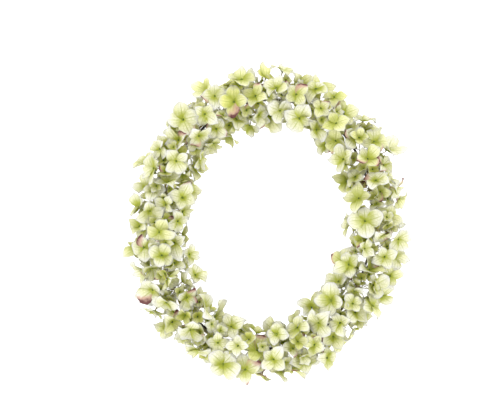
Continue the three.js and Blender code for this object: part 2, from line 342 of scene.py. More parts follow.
def only(piece):
    """Makes a piece the active object and the only one selected."""
    start_piece()
    piece.select_set(True)
    bpy.context.view_layer.objects.active = piece


def select_points(piece, chosen):
    """Goes to edit mode with only the chosen points selected, given by their numbers."""
    only(piece)
    bpy.ops.object.mode_set(mode="EDIT")
    bpy.ops.mesh.select_mode(type="VERT")
    bpy.ops.mesh.select_all(action="DESELECT")
    bpy.ops.object.mode_set(mode="OBJECT")
    for i in chosen:
        piece.data.vertices[i].select = True
    bpy.ops.object.mode_set(mode="EDIT")


def finish_piece(piece, materials, slot, *nodes):
    """Gives a piece its materials and hides the frame's nodes that it stands for. The slot is not used.
    """
    piece.data.materials.clear()
    for material in materials:
        piece.data.materials.append(material)
    only(piece)
    bpy.ops.object.transform_apply(location=True, rotation=True, scale=True)
    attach(piece, "root")
    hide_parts(*nodes)


# --- materials


def new_material(name):
    """An empty node material, its tree and the Object coordinates."""
    material = bpy.data.materials.new(name)
    material.use_nodes = True
    tree = material.node_tree
    tree.nodes.clear()
    return material, tree, add_node(tree, "TexCoord", {}).outputs["Object"]


def add_node(tree, kind, inputs, stops=(), **values):
    """Adds a node with its settings and links.

    inputs gives a socket its value, or the socket or node that feeds it. stops gives a
    colour ramp its places and colours.
    """
    node = tree.nodes.new("ShaderNode" + kind)
    for name, value in values.items():
        setattr(node, name, value)
    for key, value in inputs.items():
        if isinstance(value, bpy.types.Node):
            value = next(socket for socket in value.outputs if socket.enabled)
        if isinstance(value, bpy.types.NodeSocket):
            tree.links.new(value, node.inputs[key])
        else:
            node.inputs[key].default_value = value
    for i, (place, colour) in enumerate(stops):
        elements = node.color_ramp.elements
        element = elements[i] if i < 2 else elements.new(place)
        element.position = place
        element.color = (*colour[:3], 1)
    return node


def mottled(tree, objects, size, stops, detail):
    """Soft patches about as wide as size: how strong they are, and their colour."""
    patches = add_node(tree, "TexNoise", {"Vector": objects, "Scale": 1 / size, "Detail": detail})
    return patches, add_node(tree, "ValToRGB", {"Fac": patches}, stops=stops)


def fine_relief(tree, objects, size, height, strength):
    """Bumps about as wide as size, as hairs and scuffs give."""
    bumps = add_node(tree, "TexNoise", {"Vector": objects, "Scale": 1 / size, "Detail": 2.0})
    return add_node(tree, "Bump", {"Height": bumps, "Strength": strength, "Distance": height})


def cover(material, inputs):
    """Ends a material in a surface with these settings."""
    surface = add_node(material.node_tree, "BsdfPrincipled", inputs)
    add_node(material.node_tree, "OutputMaterial", {"Surface": surface})
    return material


def tinted(tree, colour, value, most, bands):
    """Lays colours over a colour where a value is high.

    Each band gives where its colour starts, where it is full and the colour. most is
    how much it covers there.
    """
    for start, full, over in bands:
        inputs = {"Value": value, "From Min": start, "From Max": full, "To Max": most}
        share = add_node(tree, "MapRange", inputs, interpolation_type="SMOOTHSTEP")
        colour = add_node(tree, "Mix", {0: share, 6: colour, 7: (*over, 1)}, data_type="RGBA")
    return colour


def weighted_sum(tree, total, *parts):
    """Adds every value, times its weight, to a total."""
    for value, weight in parts:
        total = add_node(tree, "Math", {0: value, 1: weight, 2: total}, operation="MULTIPLY_ADD")
    return total


def sepal_veins(tree, across, off_middle, objects):
    """How much each point is on a vein: 1 on the midrib, less on the finer ones."""
    # Five long veins fan out from the throat and meet again at the tip.
    fan = add_node(tree, "Math", {0: across, 1: LONG_VEINS * math.pi / 2}, operation="MULTIPLY")
    fan = add_node(tree, "Math", {0: fan}, operation="SINE")
    fan = add_node(tree, "Math", {0: fan}, operation="ABSOLUTE")
    inputs = {"Vector": objects, "Scale": 1 / VEIN_NET, "Randomness": 0.9}
    net = add_node(tree, "TexVoronoi", inputs, feature="DISTANCE_TO_EDGE")
    # How far each kind of vein spreads from its middle, and how strong it is.
    veins = 0.0
    for distance, width, strength in ((fan, 0.34, 0.7), (off_middle, 0.1, 1.0), (net, 0.12, 0.45)):
        inputs = {"Value": distance, "From Min": width, "From Max": 0.0, "To Max": strength}
        vein = add_node(tree, "MapRange", inputs, interpolation_type="SMOOTHSTEP")
        veins = add_node(tree, "Math", {0: veins, 1: vein}, operation="MAXIMUM")
    return veins


def sepal_flush(tree, colour, across, outward, cloud, pink):
    """Ageing turns part of some petals pink, from one side, and maroon at the edge."""
    colours = settings().colours
    spread = weighted_sum(tree, outward, (across, 0.45), (cloud, 0.9), (pink, 1.0))
    strength = add_node(tree, "MapRange", {"Value": pink, "From Max": 0.4, "To Max": 0.9})
    bands = ((1.25, 1.65, colours.blush), (1.6, 1.9, colours.maroon))
    return tinted(tree, colour, spread, strength, bands)


def petal_material():
    """Sepal of a mophead hydrangea, living tissue 0.3 mm thick.

    Light shines through it, so it glows where one petal lies alone and is greener where
    several overlap. Its skin is waxy and softly matt, with fine forked veins.
    """
    colours = settings().colours
    material, tree, objects = new_material("hydrangea_sepal")
    place = add_node(tree, "UVMap", {}, uv_map=PETAL_MAP)
    axes = add_node(tree, "SeparateXYZ", {0: place})
    across = add_node(tree, "Math", {0: axes.outputs["X"], 1: 2.0, 2: -1.0}, operation="MULTIPLY_ADD")
    off_middle = add_node(tree, "Math", {0: across}, operation="ABSOLUTE")
    along = axes.outputs["Y"]
    tone = add_node(tree, "Attribute", {}, attribute_name="tone")
    green, pink, shade = add_node(tree, "SeparateColor", {0: tone}).outputs
    cloud = add_node(tree, "TexNoise", {"Vector": objects, "Scale": 1 / CLOUD, "Detail": 3.0})

    # Chlorophyll is densest round the bud, and it reaches further out in the greener, younger petals;
    # the young florets' extra green is partly painted shade for the depths under the dome.
    # The clouds make its edge uneven.
    reach = weighted_sum(tree, -0.36, (cloud, 0.55), (along, 1.0), (shade, 0.2))
    eye, throat = colours.eye, colours.throat
    pale, lime = (
        add_node(tree, "ValToRGB", {"Fac": reach}, stops=stops)
        for stops in (
            ((0.0, eye), (0.18, throat), (0.48, colours.pale), (0.85, colours.cream)),
            ((0.0, eye), (0.3, throat), (0.65, colours.lime), (1.0, colours.pale)),
        )
    )
    colour = add_node(tree, "Mix", {0: green, 6: pale, 7: lime}, data_type="RGBA")

    veins = sepal_veins(tree, across, off_middle, objects)
    inputs = {"Value": along, "From Min": 1.0, "From Max": 0.5, "To Max": 0.8}
    fade = add_node(tree, "MapRange", inputs)
    veined = add_node(tree, "Math", {0: veins, 1: fade}, operation="MULTIPLY")
    inputs = {0: veined, 6: colour, 7: (*colours.vein, 1)}
    colour = add_node(tree, "Mix", inputs, data_type="RGBA")
    # A petal's margin has hardly any chlorophyll, so it stands out pale on the next one; the pale band
    # is also a painted highlight where the curved rim catches the light.
    # The grey line at the very edge is painted shade, for the thin shadow beside that rim.
    outward = add_node(tree, "Math", {0: along, 1: 3.0}, operation="POWER")
    rim = add_node(tree, "Math", {0: off_middle, 1: outward}, operation="MAXIMUM")
    inputs = {"Value": along, "From Min": 0.3, "From Max": 0.7, "To Max": 0.8}
    outer_half = add_node(tree, "MapRange", inputs)
    bands = ((0.76, 0.94, colours.cream), (0.9, 1.0, colours.edge))
    colour = tinted(tree, colour, rim, outer_half, bands)
    level = add_node(tree, "MapRange", {"Value": shade, "To Min": 0.9})
    colour = add_node(tree, "VectorMath", {0: colour, "Scale": level}, operation="SCALE")
    colour = sepal_flush(tree, colour, across, outward, cloud, pink)

    # The veins sink a little into the front and stand as proud of the back, and the
    # skin puckers softly between them.
    crinkle = add_node(tree, "TexNoise", {"Vector": objects, "Scale": 1 / CRINKLE, "Detail": 2.0})
    relief = add_node(tree, "Math", {0: veins, 1: -0.25, 2: crinkle}, operation="MULTIPLY_ADD")
    bump = add_node(tree, "Bump", {"Height": relief, "Strength": 0.9, "Distance": 1.2 * MM})
    waxy = {"Roughness": 0.52, "IOR": 1.45, "Specular IOR Level": 0.4}
    skin = add_node(tree, "BsdfPrincipled", {"Base Color": colour, "Normal": bump, **waxy})
    # Light that has passed through the whole petal has lost more of its blue, most of
    # all near the bud, where the petal is thickest.
    inputs = {"Value": along, "From Min": 0.2, "From Max": 0.65, "To Min": 0.9, "To Max": 0.0}
    thick = add_node(tree, "MapRange", inputs)
    inputs = {0: thick, 6: colour, 7: linear("eaea84")}
    filtered = add_node(tree, "Mix", inputs, data_type="RGBA", blend_type="MULTIPLY")
    shine = add_node(tree, "BsdfTranslucent", {"Color": filtered, "Normal": bump})
    mixed = add_node(tree, "MixShader", {0: LIGHT_THROUGH, 1: skin, 2: shine})
    add_node(tree, "OutputMaterial", {"Surface": mixed})
    return material


def bud_material():
    """Closed flower bud: firm, smooth, dark green skin, mottled paler and darker."""
    material, tree, objects = new_material("flower_bud")
    stops = ((0.3, linear("333c0c")), (0.5, settings().colours.bud), (0.74, linear("8a962c")))
    _, colour = mottled(tree, objects, 1.2 * MM, stops, detail=2.0)
    return cover(material, {"Base Color": colour, "Roughness": 0.6, "IOR": 1.36})


def stalk_material():
    """Flower stalk: fleshy green, flushed brown and a little red, with fine hairs."""
    material, tree, objects = new_material("flower_stalk")
    stops = (
        (0.32, linear("cdd392")),
        (0.5, settings().colours.stalk),
        (0.64, linear("a3945a")),
        (0.8, linear("8c6450")),
    )
    _, colour = mottled(tree, objects, 11 * MM, stops, detail=4.0)
    hairs = fine_relief(tree, objects, 0.5 * MM, height=0.1 * MM, strength=0.3)
    return cover(material, {"Base Color": colour, "Roughness": 0.58, "IOR": 1.45, "Normal": hairs})


def bark_material():
    """Young hydrangea stem: thin dull bark, green under brown, with pale pores."""
    material, tree, objects = new_material("young_bark")
    stops = ((0.3, linear("9aa05c")), (0.5, settings().colours.bark), (0.7, linear("74663f")))
    patches, colour = mottled(tree, objects, 7 * MM, stops, detail=5.0)
    spots = add_node(tree, "TexVoronoi", {"Vector": objects, "Scale": 1 / (2.2 * MM)})
    inputs = {"Value": spots, "From Min": 0.2, "From Max": 0.1, "To Max": 0.6}
    pores = add_node(tree, "MapRange", inputs)
    colour = add_node(tree, "Mix", {0: pores, 6: colour, 7: linear("a39a6c")}, data_type="RGBA")
    bump = add_node(tree, "Bump", {"Height": patches, "Strength": 0.5, "Distance": 0.3 * MM})
    return cover(material, {"Base Color": colour, "Roughness": 0.72, "IOR": 1.45, "Normal": bump})


def pith_material():
    """Cut end of a stem: pale, fibrous wood round soft pith, slightly moist."""
    material, tree, objects = new_material("cut_pith")
    stops = ((0.35, linear("b7b17a")), (0.65, settings().colours.pith))
    _, colour = mottled(tree, objects, 0.4 * MM, stops, detail=3.0)
    return cover(material, {"Base Color": colour, "Roughness": 0.6, "IOR": 1.4})


def wire_material(name, colour, worn, metallic, roughness):
    """Drawn wire: fine lengthwise scuffs and a few worn spots break its satin shine."""
    material, tree, objects = new_material(name)
    stops = ((0.45, colour), (0.62, worn))
    wear, tint = mottled(tree, objects, 5 * MM, stops, detail=6.0)
    ends = {"To Min": roughness, "To Max": roughness + 0.22}
    rough = add_node(tree, "MapRange", {"Value": wear, "From Min": 0.3, "From Max": 0.8, **ends})
    scuffs = fine_relief(tree, objects, 0.6 * MM, height=0.05 * MM, strength=0.25)
    shine = {"Metallic": metallic, "Roughness": rough}
    return cover(material, {"Base Color": tint, "Normal": scuffs, **shine})


# --- the ring's centre line

RING_ANGLES = np.linspace(0, 2 * math.pi, RING_STEPS + 1)
RING_LINE = [OVAL_HALF_WIDTH * np.cos(RING_ANGLES), OVAL_HALF_LENGTH * np.sin(RING_ANGLES)]
RING_TRAVEL = np.concatenate([[0], np.cumsum(np.linalg.norm(np.diff(RING_LINE), axis=0))])
RING_LENGTH = RING_TRAVEL[-1]


def ring_at(turn):
    """The ring wire's centre and the way outward from it, at a share of the way round."""
    angle = np.interp((turn % 1) * RING_LENGTH, RING_TRAVEL, RING_ANGLES)
    right = OVAL_HALF_WIDTH * np.array([math.cos(angle), -math.sin(angle)])
    up = OVAL_HALF_LENGTH * np.array([math.sin(angle), math.cos(angle)])
    along = unit(np.array([right[1], up[1], 0]))
    centre = np.array([RING_CENTRE.x + right[0], RING_CENTRE.y + up[0], 0])
    return centre, np.array([along[1], -along[0], 0])


def beside_ring(turn, outward, height):
    """A place beside the ring wire."""
    centre, away = ring_at(turn)
    return centre + away * outward + np.array([0, 0, height])


def hub_turn(sprig):
    """The middle of a sprig's florets, as a share of the way round."""
    return (sprig + 0.5) / len(SPRIGS)


def route_through(stops, steps):
    """Points along a centripetal Catmull-Rom curve, steps of them after each stop."""
    stops = [2 * stops[0] - stops[1], *stops, 2 * stops[-1] - stops[-2]]
    gaps = [math.sqrt(np.linalg.norm(b - a)) for a, b in zip(stops, stops[1:])]
    knots = np.concatenate([[0], np.cumsum(gaps)])

    def between(t, low, high, a, b):
        return ((knots[high] - t) * a + (t - knots[low]) * b) / (knots[high] - knots[low])

    route = []
    for i in range(1, len(stops) - 2):
        for t in np.linspace(knots[i], knots[i + 1], steps, endpoint=False):
            near = [between(t, j, j + 1, stops[j], stops[j + 1]) for j in (i - 1, i, i + 1)]
            wide = [between(t, i - 1 + j, i + 1 + j, near[j], near[j + 1]) for j in (0, 1)]
            route.append(between(t, i, i + 1, *wide))
    return np.array([*route, stops[-2]])


def stem_route(sprig):
    """A stem's centre line, from below its cut end to the middle of its florets."""
    turn = hub_turn(sprig)
    stops = [
        beside_ring(turn - behind / RING_LENGTH, outward, height)
        for behind, outward, height in STEM_STOPS
    ]
    return route_through(stops, STEM_STEPS_PER_STOP)


# --- florets


@dataclasses.dataclass
class Floret:
    """One floret. place turns its own frame, which faces +Z, to the wreath's.

    Each petal is a dictionary: the angle of its midrib, its length, how pointed it is
    from 0 to 1, the heights of its tip and its sides, and its tone, which holds
    greenness, pinkness and shade.
    """

    sprig: int
    place: Matrix
    petals: list
    stalk_way: Vector
    young: bool = False

    def sheet(self):
        """A plain sheet through the eye, the notches, the sides and the tips."""
        rim = []
        for petal in self.petals:
            side_x, side_y = side_place(petal["pointed"])
            side = math.atan2(side_x, side_y)
            for turn, reach, height in (
                (-math.pi / PETALS, PLAIN_NOTCH_REACH, PLAIN_NOTCH_RISE * petal["side_height"]),
                (-side, math.hypot(side_x, side_y), petal["side_height"]),
                (0, 1, petal["tip_height"]),
                (side, math.hypot(side_x, side_y), petal["side_height"]),
            ):
                way = Vector((math.cos(petal["angle"] + turn), math.sin(petal["angle"] + turn), 0))
                rim.append(way * reach * petal["length"] + Vector((0, 0, height)))
        points = [self.place @ p for p in (Vector((0, 0, 0)), *rim)]
        fan = [(0, 1 + i, 1 + (i + 1) % RIM) for i in range(RIM)]
        return points, fan


def side_place(pointed):
    """A plain petal's side point: off the midrib and along it, in petal lengths."""
    off = ROUND_SIDE_X + (POINTED_SIDE_X - ROUND_SIDE_X) * pointed
    return off, ROUND_SIDE_Y + (POINTED_SIDE_Y - ROUND_SIDE_Y) * pointed


def petal_of(side_a, tip, side_b):
    """A plain petal's measures, from three points of its rim."""
    off = (side_b.xy - side_a.xy).length / 2 / tip.xy.length
    return {
        "angle": math.atan2(tip.y, tip.x),
        "length": tip.xy.length,
        "pointed": float(np.clip((ROUND_SIDE_X - off) / (ROUND_SIDE_X - POINTED_SIDE_X), 0, 1)),
        "tip_height": tip.z,
        "side_height": (side_a.z + side_b.z) / 2,
    }


def give_tones(petals, greenness, chance):
    """Gives one floret's petals their greenness, pinkness and shade."""
    green = chance.normal(greenness, GREEN_SPREAD)
    for petal in petals:
        pink = chance.uniform(*PINKNESS) if chance.random() < settings().petals.blush else 0
        own_green = float(np.clip(green + chance.normal(0, PETAL_GREEN_SPREAD), 0, 1))
        petal["tone"] = (own_green, pink, chance.uniform(0, 1))


def read_florets(sprig, chance):
    """The florets of one sprig's node.

    A floret's eye is the point where sixteen long edges meet. The way of its stalk is
    that of the edges that run down from the points just behind the eye.
    """
    mesh = bmesh.new()
    mesh.from_mesh(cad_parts[SPRIGS[sprig]].data)
    bmesh.ops.remove_doubles(mesh, verts=mesh.verts, dist=WELD)
    mesh.normal_update()
    found = []
    for eye in mesh.verts:
        rim = [edge.other_vert(eye).co - eye.co for edge in eye.link_edges]
        if len(rim) != RIM or min(p.length for p in rim) < LEAST_RIM_REACH:
            continue
        axes = eye.normal.to_track_quat("Z", "Y").to_matrix()
        local = sorted((axes.transposed() @ p for p in rim), key=lambda p: math.atan2(p.y, p.x))
        first = min(range(RIM_STEP), key=lambda i: sum(p.xy.length for p in local[i::RIM_STEP]))
        local = local[first:] + local[:first]
        petals = [petal_of(*local[i + 1 : i + RIM_STEP]) for i in range(0, RIM, RIM_STEP)]
        corners = [v for v in mesh.verts if 0 < (v.co - eye.co).length < EYE_BACK_REACH]
        below = [
            edge.other_vert(v).co - v.co
            for v in corners
            for edge in v.link_edges
            if (edge.other_vert(v).co - eye.co).dot(eye.normal) < -LEAST_STALK
        ]
        way = sum((b.normalized() for b in below), Vector()) if below else -eye.normal
        place = Matrix.Translation(eye.co) @ axes.to_4x4()
        give_tones(petals, FULL_GREENNESS, chance)
        found.append(Floret(sprig, place, petals, way.normalized()))
    mesh.free()
    return found


def young_floret(turn, angle, lift, chance):
    """A small cupped floret under the dome, one that opens late."""
    height = DOME_BASE + (DOME_RISE + lift) * math.sin(angle)
    reach = DOME_OUTWARD + (DOME_HALF_WIDTH + lift) * math.cos(angle)
    eye = beside_ring(turn, reach, height)
    outward = ring_at(turn)[1]
    facing = unit(outward * math.cos(angle) / DOME_HALF_WIDTH + UP * math.sin(angle) / DOME_RISE)
    facing = unit(facing + UP * FACING_FRONT)
    facing = Vector(unit(facing + chance.uniform(-YOUNG_LEAN, YOUNG_LEAN, 3)))
    spin = Matrix.Rotation(chance.uniform(0, math.pi / 2), 3, "Z")
    axes = facing.to_track_quat("Z", "Y").to_matrix() @ spin
    radius = chance.uniform(*YOUNG_RADIUS)
    rise = radius * chance.uniform(*YOUNG_RISE)
    pointed = math.sqrt(chance.random())
    petals = [
        {
            "angle": i * math.pi / 2 + chance.uniform(-YOUNG_SPIN, YOUNG_SPIN),
            "length": radius * chance.uniform(*YOUNG_LENGTH),
            "pointed": pointed,
            "tip_height": rise + radius * chance.uniform(*YOUNG_TIP),
            "side_height": YOUNG_SIDE * rise,
        }
        for i in range(PETALS)
    ]
    # Partly the real green of youth, partly painted shade for the depths under the dome.
    give_tones(petals, YOUNG_GREEN_AND_DEPTH_SHADE, chance)
    place = Matrix.Translation(Vector(eye)) @ axes.to_4x4()
    sprig = int(turn * len(SPRIGS)) % len(SPRIGS)
    return Floret(sprig, place, petals, -facing, young=True)


def grow_young(florets, count, chance):
    """Young florets, where their petals meet no other petal."""
    taken = [(f.place.translation, BVHTree.FromPolygons(*f.sheet())) for f in florets]
    grown = []
    for _ in range(YOUNG_TRIES):
        if len(grown) == count:
            break
        angle = chance.uniform(-YOUNG_LOWEST_ANGLE, math.pi + YOUNG_LOWEST_ANGLE)
        lift = chance.uniform(*YOUNG_LIFT)
        floret = young_floret(chance.uniform(0, 1), angle, lift, chance)
        points, fan = floret.sheet()
        if min(p.z for p in points) < YOUNG_LEAST_HEIGHT:
            continue
        sheet = BVHTree.FromPolygons(points, fan)
        eye = floret.place.translation
        near = [other for at, other in taken if (at - eye).length < MEETING_REACH]
        if not any(sheet.overlap(other) for other in near):
            taken.append((eye, sheet))
            grown.append(floret)
    return grown


@functools.cache
def all_florets():
    """Every floret: first those of the frame, then the young ones."""
    chance = np.random.default_rng(SEED)
    full = [floret for sprig in range(len(SPRIGS)) for floret in read_florets(sprig, chance)]
    return full + grow_young(full, settings().petals.young, chance)


def florets_of(sprig):
    """One sprig's florets."""
    return [floret for floret in all_florets() if floret.sprig == sprig]


# --- petals and buds


def petal_template():
    """A flat petal one unit long: a grid whose rows are drawn in and moved one by one.

    Its map "petal" stays square, so that it gives across and along for any point.
    """
    start_piece()
    rows = len(PETAL_ROWS)
    bpy.ops.mesh.primitive_grid_add(
        x_subdivisions=PETAL_COLUMNS,
        y_subdivisions=rows - 1,
        size=1,
        calc_uvs=True,
        location=(0, 0.5, 0),
    )
    petal = bpy.context.object
    petal.name = "petal_template"
    bpy.ops.object.transform_apply(location=True)
    petal.data.uv_layers[0].name = PETAL_MAP
    levels = [round(v.co.y * (rows - 1)) for v in petal.data.vertices]
    for i, (along, half_width) in enumerate(zip(PETAL_ROWS, ROUND_HALF_WIDTHS)):
        select_points(petal, [v for v, level in enumerate(levels) if level == i])
        bpy.ops.transform.resize(value=(2 * half_width, 1, 1), center_override=(0, 0, 0))
        bpy.ops.transform.translate(value=(0, along - i / (rows - 1), 0))
    bpy.ops.object.mode_set(mode="OBJECT")
    solid = petal.modifiers.new("thickness", "SOLIDIFY")
    solid.thickness = settings().petals.thickness / MEAN_PETAL_LENGTH
    solid.offset = 0
    bpy.ops.object.modifier_apply(modifier=solid.name)
    return petal


def read_template(piece):
    """A template's places, its faces and its map for each corner."""
    mesh = piece.data
    places = np.array([v.co for v in mesh.vertices])
    faces = [list(face.vertices) for face in mesh.polygons]
    corners = np.array([corner.uv for corner in mesh.uv_layers[0].data])
    bpy.data.objects.remove(piece)
    return places, faces, corners


def petal_layer(x, y, petals):
    """Places on the middle layer of petals. x and y are shares of a petal's length.

    petals holds a column for each measure. The plain petal's rise and sides are kept;
    the arch, the fold along the midrib, the twist, the lap and the ripple are added.
    """
    length = petals["length"]
    side_x, side_y = side_place(petals["pointed"])
    across = np.clip(x / np.interp(y, PETAL_ROWS, ROUND_HALF_WIDTHS), -PAST_EDGE, PAST_EDGE)
    cup = petals["side_height"] - petals["tip_height"] * side_y
    x = x * (1 - petals["pointed"] * np.interp(y, PETAL_ROWS, POINTED_LOSS))
    wave = np.sin(2 * math.pi * petals["waves"] * y + petals["phase"] + EDGE_LAG * np.sign(across))
    fall = np.clip((y - TIP_FALL_START) / (1 - TIP_FALL_START), 0, 1) ** 2
    height = (
        petals["tip_height"] * y
        + cup * (x / side_x) ** 2
        + length * petals["bow"] * 4 * y * (1 - y)
        + length * petals["fold"] * np.abs(x) * np.sin(math.pi * np.clip(y / FOLD_END, 0, 1))
        + length * petals["twist"] * x * y
        + length * petals["ripple"] * wave * np.abs(across) ** 3 * y
        + petals["lap"] * across * np.sin(math.pi * np.clip(y / LAP_END, 0, 1)) * LAP_SHARE
        - length * petals["tip_fall"] * fall
    )
    sideways = x + petals["skew"] * y * y
    turn = petals["angle"]
    return np.stack(
        [
            length * (y * np.cos(turn) - sideways * np.sin(turn)),
            length * (y * np.sin(turn) + sideways * np.cos(turn)),
            height,
        ],
        axis=-1,
    )


def petals_on_florets(florets, template, chance):
    """The places of the template's points on every petal of the florets."""
    shape = settings().petals
    count = len(florets) * PETALS
    measures = {
        name: np.array([[petal[name]] for f in florets for petal in f.petals])
        for name in ("angle", "length", "pointed", "tip_height", "side_height")
    }
    for name, ends in PETAL_RANGES.items():
        measures[name] = chance.uniform(*ends, (count, 1)) * getattr(shape, name, 1)
    measures["lap"] = shape.lap
    x, y, z = template.T
    layer = petal_layer(x, y, measures)
    aside = petal_layer(x + SMALL_STEP, y, measures) - layer
    ahead = petal_layer(x, y + SMALL_STEP, measures) - layer
    layer = layer + unit(np.cross(aside, ahead)) * (z * MEAN_PETAL_LENGTH)[:, None]
    places = np.repeat(np.array([f.place for f in florets]), PETALS, axis=0)
    turned = np.einsum("nij,nvj->nvi", places[:, :3, :3], layer) + places[:, None, :3, 3]
    turned[..., 2] = np.maximum(turned[..., 2], FLOOR_GAP)
    return turned


def repeated_mesh(name, places, faces):
    """A mesh of as many copies of the faces as places has rows."""
    count, size, _ = places.shape
    mesh = bpy.data.meshes.new(name)
    copies = [[size * i + v for v in face] for i in range(count) for face in faces]
    mesh.from_pydata(places.reshape(-1, 3), [], copies)
    piece = bpy.data.objects.new(name, mesh)
    bpy.context.scene.collection.objects.link(piece)
    return piece


def bud_template():
    """A bud one unit in radius: a ball drawn up to four low lobes."""
    start_piece()
    bpy.ops.mesh.primitive_ico_sphere_add(subdivisions=2, radius=1, location=(0, 0, 0))
    bud = bpy.context.object
    bud.name = "bud_template"
    spots = [v.co.copy() for v in bud.data.vertices]
    select_points(bud, [i for i, p in enumerate(spots) if p.z > BUD_TOP])
    bpy.ops.transform.resize(value=BUD_TOP_SIZE, center_override=(0, 0, BUD_TOP))
    for i in range(PETALS):
        angle = (i + 0.5) * 2 * math.pi / PETALS
        way = Vector((math.cos(angle), math.sin(angle), 0))
        select_points(bud, [j for j, p in enumerate(spots) if p.dot(way) > BUD_LOBE])
        bpy.ops.transform.translate(value=way * BUD_LOBE_REACH)
    bpy.ops.object.mode_set(mode="OBJECT")
    return bud


class WREATH_OT_florets(bpy.types.Operator):
    """Model the petals of every floret, one piece for each sprig"""

    bl_idname = "wreath.florets"
    bl_label = "Florets"

    def execute(self, context):
        chance = np.random.default_rng(PETAL_SEED)
        places, faces, corners = read_template(petal_template())
        material = petal_material()
        for sprig, node in enumerate(SPRIGS):
            florets = florets_of(sprig)
            points = petals_on_florets(florets, places, chance)
            piece = repeated_mesh(f"{node}_petals", points, faces)
            mesh = piece.data
            layer = mesh.uv_layers.new(name=PETAL_MAP)
            layer.data.foreach_set("uv", np.tile(corners, (len(points), 1)).ravel())
            tones = [(*petal["tone"], 1) for f in florets for petal in f.petals]
            tones = np.repeat(tones, len(places), axis=0)
            attribute = mesh.attributes.new("tone", "FLOAT_COLOR", "POINT")
            attribute.data.foreach_set("color", tones.ravel())
            finish_piece(piece, [material], "petals", node)
            bpy.ops.object.shade_smooth_by_angle(angle=SHARP_ANGLE)
        return {"FINISHED"}


class WREATH_OT_buds(bpy.types.Operator):
    """Model the bud in the middle of every floret, one piece for each sprig"""

    bl_idname = "wreath.buds"
    bl_label = "Buds"

    def execute(self, context):
        chance = np.random.default_rng(BUD_SEED)
        places, faces, _ = read_template(bud_template())
        material = bud_material()
        for sprig, node in enumerate(SPRIGS):
            points = []
            for floret in florets_of(sprig):
                radius = chance.uniform(*BUD_RADIUS)
                points.append([floret.place @ (Vector(p) * radius + BUD_LIFT) for p in places])
            piece = repeated_mesh(f"{node}_buds", np.array(points), faces)
            finish_piece(piece, [material], "stems", node)
            bpy.ops.object.shade_smooth()
        return {"FINISHED"}


# --- stalks and stems


def start_strands(name, roundness):
    """A curve with no strand yet, for strands of round section."""
    start_piece()
    bpy.ops.curve.primitive_bezier_curve_add()
    bpy.context.object.name = name
    curve = bpy.context.object.data
    curve.splines.clear()
    curve.dimensions = "3D"
    curve.bevel_depth = STEM_RADIUS
    curve.bevel_resolution = roundness
    curve.use_fill_caps = True
    return curve


def add_strand(curve, places, radii, material):
    """Adds one strand to a curve, with its radius at each place."""
    strand = curve.splines.new("POLY")
    strand.points.add(len(places) - 1)
    for point, place, radius in zip(strand.points, places, radii):
        point.co = (*place, 1)
        point.radius = radius / STEM_RADIUS
    strand.material_index = material
    strand.use_smooth = True


def stalk_route(floret, stem):
    """A stalk's places from its floret down to its stem, in one soft bend."""
    back = Vector(floret.place.to_3x3().col[2]) * -1
    start = floret.place.translation + back * STALK_START
    roots = [Vector(p) for p in stem[int(LOWEST_ROOT * len(stem)) :]]
    root = max(roots, key=lambda p: (p - start).normalized().dot(floret.stalk_way))
    reach = (root - start).length
    first = start + back * reach * STALK_EASE
    second = root + (start - root) * STALK_EASE - Vector((0, 0, reach * STALK_SAG))
    return [
        start * (1 - t) ** 3
        + first * 3 * t * (1 - t) ** 2
        + second * 3 * t * t * (1 - t)
        + root * t**3
        for t in np.linspace(0, 1, STALK_STEPS)
    ]


class WREATH_OT_stems(bpy.types.Operator):
    """Model each sprig's cut stem and its flower stalks, one piece for each sprig"""

    bl_idname = "wreath.stems"
    bl_label = "Stems and stalks"

    def execute(self, context):
        materials = [bark_material(), stalk_material(), pith_material()]
        stalk_swell = np.interp(np.linspace(0, 1, STALK_STEPS), STALK_PLACES, STALK_SWELL)
        for sprig, node in enumerate(SPRIGS):
            curve = start_strands(f"{node}_stems", roundness=2)
            for material in materials:
                curve.materials.append(material)
            stem = stem_route(sprig)
            turns = np.linspace(0, STEM_SWELL_TURN, len(stem))
            swell = 1 + STEM_SWELL * np.sin(turns) ** STEM_SWELL_POWER
            thinning = np.linspace(1, STEM_TIP, len(stem))
            add_strand(curve, stem, STEM_RADIUS * swell * thinning, 0)
            for floret in florets_of(sprig):
                thick = YOUNG_STALK_RADIUS if floret.young else STALK_RADIUS
                add_strand(curve, stalk_route(floret, stem), thick * stalk_swell, 1)
            bpy.ops.object.convert(target="MESH")
            piece = context.object
            bpy.ops.object.mode_set(mode="EDIT")
            bpy.ops.mesh.select_all(action="SELECT")
            bpy.ops.mesh.bisect(plane_co=(0, 0, 0), plane_no=(0, 0, 1), use_fill=True, clear_inner=True)
            bpy.ops.object.mode_set(mode="OBJECT")
            finish_piece(piece, materials, "stems", node)
            for face in piece.data.polygons:
                if face.normal.z < CUT_FACING and face.center.z < CUT_HEIGHT:
                    face.material_index = 2
            bpy.ops.object.shade_smooth_by_angle(angle=SHARP_ANGLE)
        return {"FINISHED"}


# --- wires


class WREATH_OT_ring_wire(bpy.types.Operator):
    """Model the oval ring of steel wire"""

    bl_idname = "wreath.ring_wire"
    bl_label = "Ring wire"

    def execute(self, context):
        start_piece()
        bpy.ops.curve.primitive_bezier_circle_add(radius=1, location=(0, 0, 0))
        ring = context.object
        ring.name = "steel_ring"
        bpy.ops.object.mode_set(mode="EDIT")
        bpy.ops.curve.select_all(action="SELECT")
        bpy.ops.transform.resize(
            value=(OVAL_HALF_WIDTH, OVAL_HALF_LENGTH, 1), center_override=(0, 0, 0)
        )
        bpy.ops.transform.translate(value=RING_CENTRE)
        bpy.ops.object.mode_set(mode="OBJECT")
        ring.data.resolution_u = 48
        ring.data.bevel_depth = RING_WIRE_RADIUS
        ring.data.bevel_resolution = 4
        bpy.ops.object.convert(target="MESH")
        steel = settings().colours.steel
        material = wire_material(
            "annealed_steel", steel, linear("57493a"), metallic=0.85, roughness=0.36
        )
        finish_piece(context.object, [material], "ring_wire", "ring_wire")
        bpy.ops.object.shade_smooth()
        return {"FINISHED"}


